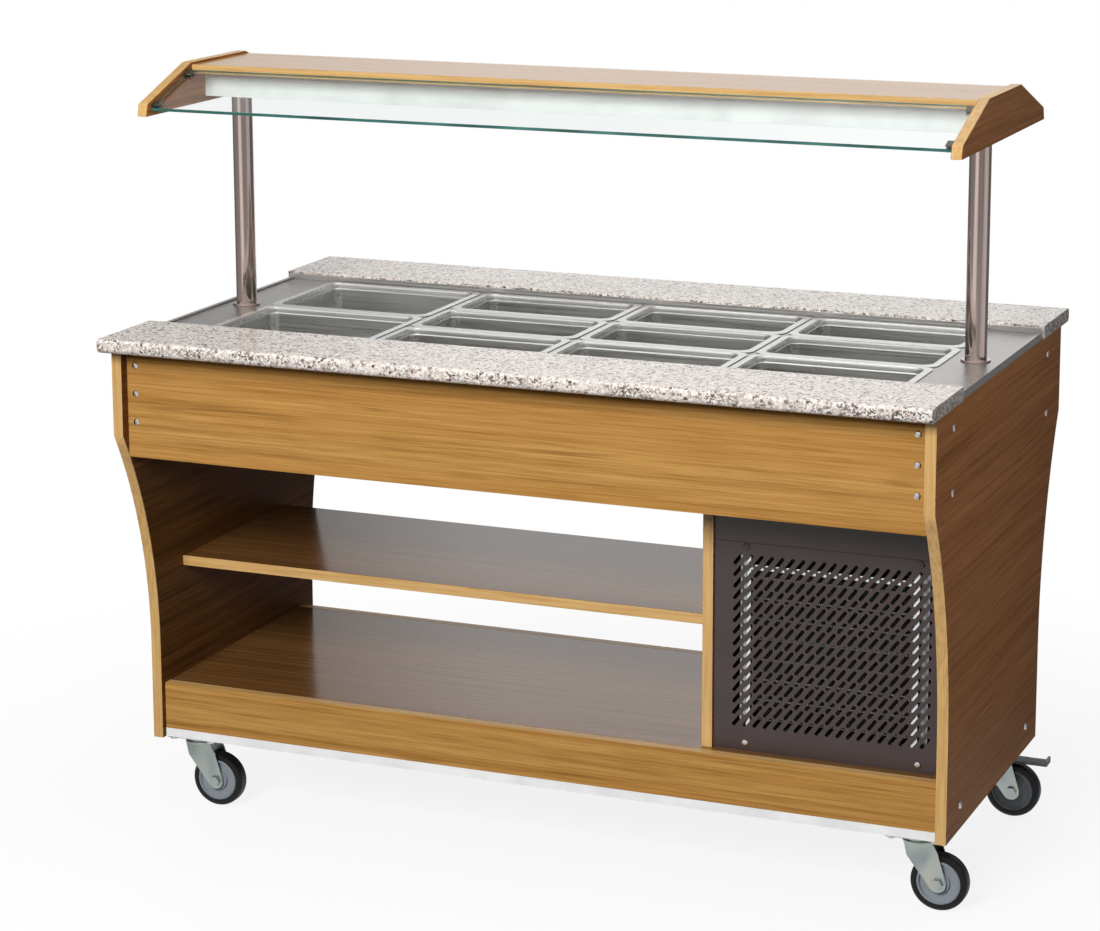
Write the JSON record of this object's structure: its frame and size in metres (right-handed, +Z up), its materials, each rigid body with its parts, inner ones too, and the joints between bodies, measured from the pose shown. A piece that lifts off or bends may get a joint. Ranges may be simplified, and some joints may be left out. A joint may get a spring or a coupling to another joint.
{
  "type": "mobile salad bar",
  "caption": "Mobile refrigerated salad bar: wood laminate cabinet with granite worktop, cold well of steel pans, lit canopy with glass guards, shelf, grilled cooling unit and casters.",
  "frame": {"origin": "middle of the bounding box on the floor", "axes": "+Z up, +X along the cabinet to the cooling unit side, -Y towards the front grille"},
  "size_m": [1.548, 0.918, 1.365],
  "materials": {
    "oak_laminate": "golden oak laminate with fine dark grain, satin",
    "granite": null,
    "stainless_steel": "stainless steel, satin to polished",
    "bright_rail": "bright satin rail",
    "foam": null,
    "black_steel": "semi-gloss black paint",
    "brown_steel": "dark grey-brown powder coat, satin",
    "condenser_aluminium": "aluminium fins and copper-grey tube",
    "zinc_plate": "bright zinc plating",
    "fan_plastic": "dark moulded plastic",
    "black_plastic": "black moulded plastic",
    "green_plastic": "green switch rocker",
    "white_enamel": "white enamel, satin",
    "opal_plastic": "opal diffuser",
    "clear_glass": "clear glass with a green-blue edge",
    "tyre_rubber": "black rubber tyre on a grey plastic disc",
    "pedal_steel": "black coated brake pedal"
  },
  "bodies": {
    "cabinet": {"left_side_panel": "oak_laminate", "right_side_panel": "oak_laminate", "front_fascia": "oak_laminate", "rear_fascia": "oak_laminate", "bottom_deck": "oak_laminate", "front_plinth": "oak_laminate", "rear_plinth": "oak_laminate", "middle_shelf": "oak_laminate", "compartment_divider": "oak_laminate", "base_rails": "bright_rail", "front_worktop": "granite", "rear_worktop": "granite", "well_tank": "stainless_steel", "well_insulation": "foam", "pan_bars": "stainless_steel", "compressor": "black_steel", "condenser": "condenser_aluminium", "unit_frame": "zinc_plate", "fan_motor": "black_steel", "grille_frame": "brown_steel", "front_grille": "brown_steel", "rear_grille": "brown_steel", "control_module": "black_plastic", "power_inlet": "black_plastic", "left_post": "stainless_steel", "right_post": "stainless_steel", "post_sockets": "stainless_steel", "canopy_left_panel": "oak_laminate", "canopy_right_panel": "oak_laminate", "canopy_board": "oak_laminate", "light_housing": "white_enamel", "light_lens": "opal_plastic", "front_glass": "clear_glass", "rear_glass": "clear_glass", "glass_clips": "stainless_steel", "screws": "stainless_steel", "caster_plates": "zinc_plate"},
    "pan_half_front_body": {"pan_half_front": "stainless_steel"},
    "pan_half_rear_body": {"pan_half_rear": "stainless_steel"},
    "pan_b_front_body": {"pan_b_front": "stainless_steel"},
    "pan_b_middle_body": {"pan_b_middle": "stainless_steel"},
    "pan_b_rear_body": {"pan_b_rear": "stainless_steel"},
    "pan_c_front_body": {"pan_c_front": "stainless_steel"},
    "pan_c_middle_body": {"pan_c_middle": "stainless_steel"},
    "pan_c_rear_body": {"pan_c_rear": "stainless_steel"},
    "pan_d_front_body": {"pan_d_front": "stainless_steel"},
    "pan_d_middle_body": {"pan_d_middle": "stainless_steel"},
    "pan_d_rear_body": {"pan_d_rear": "stainless_steel"},
    "swivel_front_left": {"fork_front_left": "zinc_plate"},
    "roller_front_left": {"wheel_front_left": "tyre_rubber"},
    "swivel_front_right": {"fork_front_right": "zinc_plate"},
    "roller_front_right": {"wheel_front_right": "tyre_rubber"},
    "swivel_rear_left": {"fork_rear_left": "zinc_plate"},
    "roller_rear_left": {"wheel_rear_left": "tyre_rubber"},
    "swivel_rear_right": {"fork_rear_right": "zinc_plate"},
    "roller_rear_right": {"wheel_rear_right": "tyre_rubber"},
    "pedal_left": {"brake_pedal_left": "pedal_steel"},
    "pedal_right": {"brake_pedal_right": "pedal_steel"},
    "fan": {"fan_blade": "fan_plastic"},
    "switch": {"power_rocker": "green_plastic"}
  },
  "joints": [
    {"name": "pan_half_front_lift", "type": "slide", "parent": "cabinet", "child": "pan_half_front_body", "axis": [0, 0, 1], "range_m": [0, 0.2]},
    {"name": "pan_half_rear_lift", "type": "slide", "parent": "cabinet", "child": "pan_half_rear_body", "axis": [0, 0, 1], "range_m": [0, 0.2]},
    {"name": "pan_b_front_lift", "type": "slide", "parent": "cabinet", "child": "pan_b_front_body", "axis": [0, 0, 1], "range_m": [0, 0.2]},
    {"name": "pan_b_middle_lift", "type": "slide", "parent": "cabinet", "child": "pan_b_middle_body", "axis": [0, 0, 1], "range_m": [0, 0.2]},
    {"name": "pan_b_rear_lift", "type": "slide", "parent": "cabinet", "child": "pan_b_rear_body", "axis": [0, 0, 1], "range_m": [0, 0.2]},
    {"name": "pan_c_front_lift", "type": "slide", "parent": "cabinet", "child": "pan_c_front_body", "axis": [0, 0, 1], "range_m": [0, 0.2]},
    {"name": "pan_c_middle_lift", "type": "slide", "parent": "cabinet", "child": "pan_c_middle_body", "axis": [0, 0, 1], "range_m": [0, 0.2]},
    {"name": "pan_c_rear_lift", "type": "slide", "parent": "cabinet", "child": "pan_c_rear_body", "axis": [0, 0, 1], "range_m": [0, 0.2]},
    {"name": "pan_d_front_lift", "type": "slide", "parent": "cabinet", "child": "pan_d_front_body", "axis": [0, 0, 1], "range_m": [0, 0.2]},
    {"name": "pan_d_middle_lift", "type": "slide", "parent": "cabinet", "child": "pan_d_middle_body", "axis": [0, 0, 1], "range_m": [0, 0.2]},
    {"name": "pan_d_rear_lift", "type": "slide", "parent": "cabinet", "child": "pan_d_rear_body", "axis": [0, 0, 1], "range_m": [0, 0.2]},
    {"name": "front_left_swivel", "type": "hinge", "parent": "cabinet", "child": "swivel_front_left", "pos_m": [-0.706, -0.247, 0.121], "axis": [0, 0, 1], "continuous": true},
    {"name": "front_left_roll", "type": "hinge", "parent": "swivel_front_left", "child": "roller_front_left", "pos_m": [-0.666, -0.247, 0.05], "axis": [0, 1, 0], "continuous": true},
    {"name": "front_right_swivel", "type": "hinge", "parent": "cabinet", "child": "swivel_front_right", "pos_m": [0.67, -0.247, 0.121], "axis": [0, 0, 1], "continuous": true},
    {"name": "front_right_roll", "type": "hinge", "parent": "swivel_front_right", "child": "roller_front_right", "pos_m": [0.71, -0.247, 0.05], "axis": [0, 1, 0], "continuous": true},
    {"name": "rear_left_swivel", "type": "hinge", "parent": "cabinet", "child": "swivel_rear_left", "pos_m": [-0.706, 0.247, 0.121], "axis": [0, 0, 1], "continuous": true},
    {"name": "rear_left_roll", "type": "hinge", "parent": "swivel_rear_left", "child": "roller_rear_left", "pos_m": [-0.666, 0.247, 0.05], "axis": [0, 1, 0], "continuous": true},
    {"name": "rear_right_swivel", "type": "hinge", "parent": "cabinet", "child": "swivel_rear_right", "pos_m": [0.67, 0.247, 0.121], "axis": [0, 0, 1], "continuous": true},
    {"name": "rear_right_roll", "type": "hinge", "parent": "swivel_rear_right", "child": "roller_rear_right", "pos_m": [0.71, 0.247, 0.05], "axis": [0, 1, 0], "continuous": true},
    {"name": "brake_left", "type": "hinge", "parent": "swivel_rear_left", "child": "pedal_left", "pos_m": [-0.682, 0.247, 0.106], "axis": [0, 1, 0], "range_deg": [0, 9]},
    {"name": "brake_right", "type": "hinge", "parent": "swivel_rear_right", "child": "pedal_right", "pos_m": [0.694, 0.247, 0.106], "axis": [0, 1, 0], "range_deg": [0, 9]},
    {"name": "fan_spin", "type": "hinge", "parent": "cabinet", "child": "fan", "pos_m": [0.51, -0.146, 0.43], "axis": [0, 1, 0], "continuous": true},
    {"name": "switch_rock", "type": "hinge", "parent": "cabinet", "child": "switch", "pos_m": [0.482, 0.24, 0.64], "axis": [1, 0, 0], "range_deg": [0, 16]}
  ]
}
